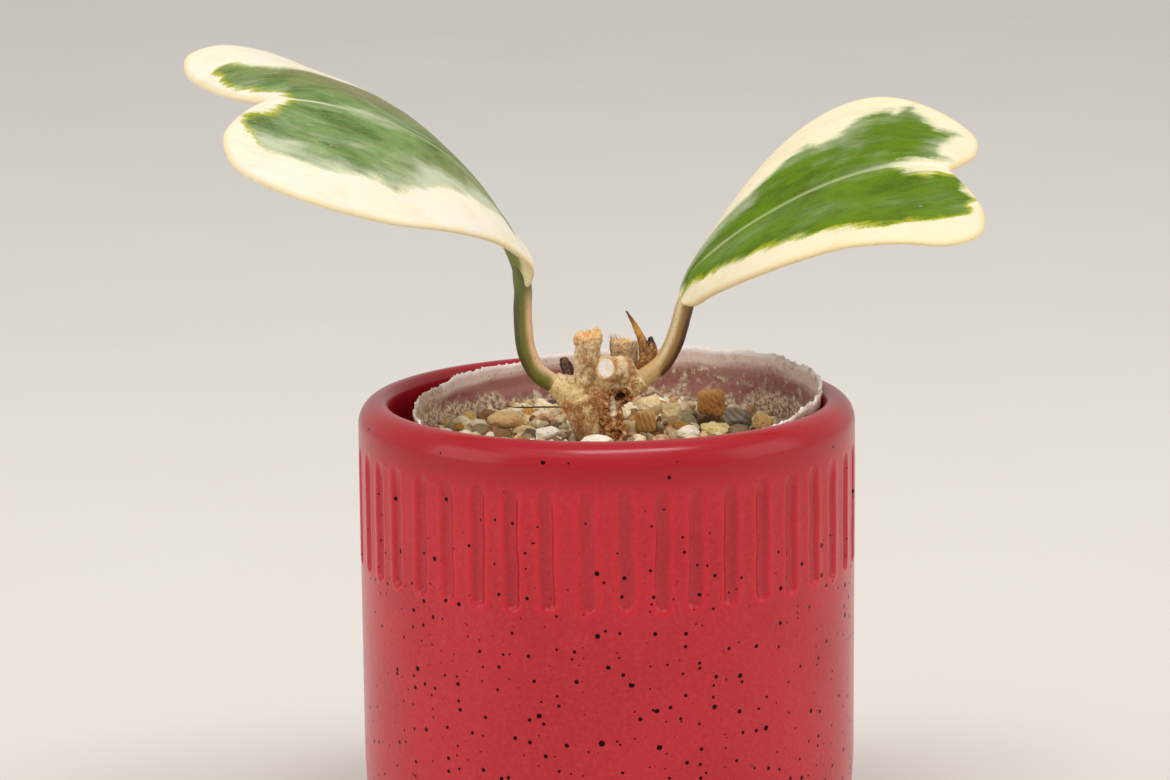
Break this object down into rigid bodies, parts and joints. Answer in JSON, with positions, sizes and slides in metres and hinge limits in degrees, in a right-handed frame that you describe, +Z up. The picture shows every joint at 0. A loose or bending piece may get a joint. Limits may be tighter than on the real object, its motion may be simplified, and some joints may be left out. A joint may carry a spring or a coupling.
{
  "type": "potted sweetheart hoya",
  "caption": "Fluted, speckled ceramic pot holding a plastic nursery cup of grit, in which a woody hoya cutting bears variegated heart-shaped leaves on curved stalks.",
  "frame": {"origin": "centre of the pot's flat foot, on the surface that it stands on", "axes": "+Z up the pot's axis; the leaves spread along X, and the side first seen faces -Y"},
  "size_m": [0.1668, 0.105, 0.173],
  "materials": {
    "pot_glaze": "satin",
    "cup_plastic": "matte",
    "potting_mix": "matte",
    "grit": "matte",
    "stone_tan": "matte",
    "stone_white": "matte",
    "stone_cream": "matte",
    "stone_ochre": "matte",
    "stone_grey": "matte",
    "stem_bark": "matte",
    "stalk_skin": "satin",
    "leaf_variegated": "satin",
    "dried_bark": "matte"
  },
  "bodies": {
    "root": {"pot": "pot_glaze", "nursery_cup": "cup_plastic", "potting_mix": "potting_mix", "grit_bed": "grit", "stone_tan_long": "stone_tan", "stone_white_block": "stone_white", "stone_white_front": "stone_white", "stone_tan_arch": "stone_tan", "stone_cream_fin": "stone_cream", "stone_ochre_chunk": "stone_ochre", "stone_ochre_block": "stone_ochre", "stone_grey_banded": "stone_grey", "stone_white_round": "stone_white", "stone_yellow_flat": "stone_cream", "stone_orange_cream": "stone_ochre", "woody_stem": "stem_bark", "leaf_stalk_left": "stalk_skin", "leaf_blade_left": "leaf_variegated", "leaf_stalk_right": "stalk_skin", "leaf_blade_right": "leaf_variegated", "dried_shoot": "dried_bark", "dark_stub": "dried_bark"}
  },
  "joints": []
}
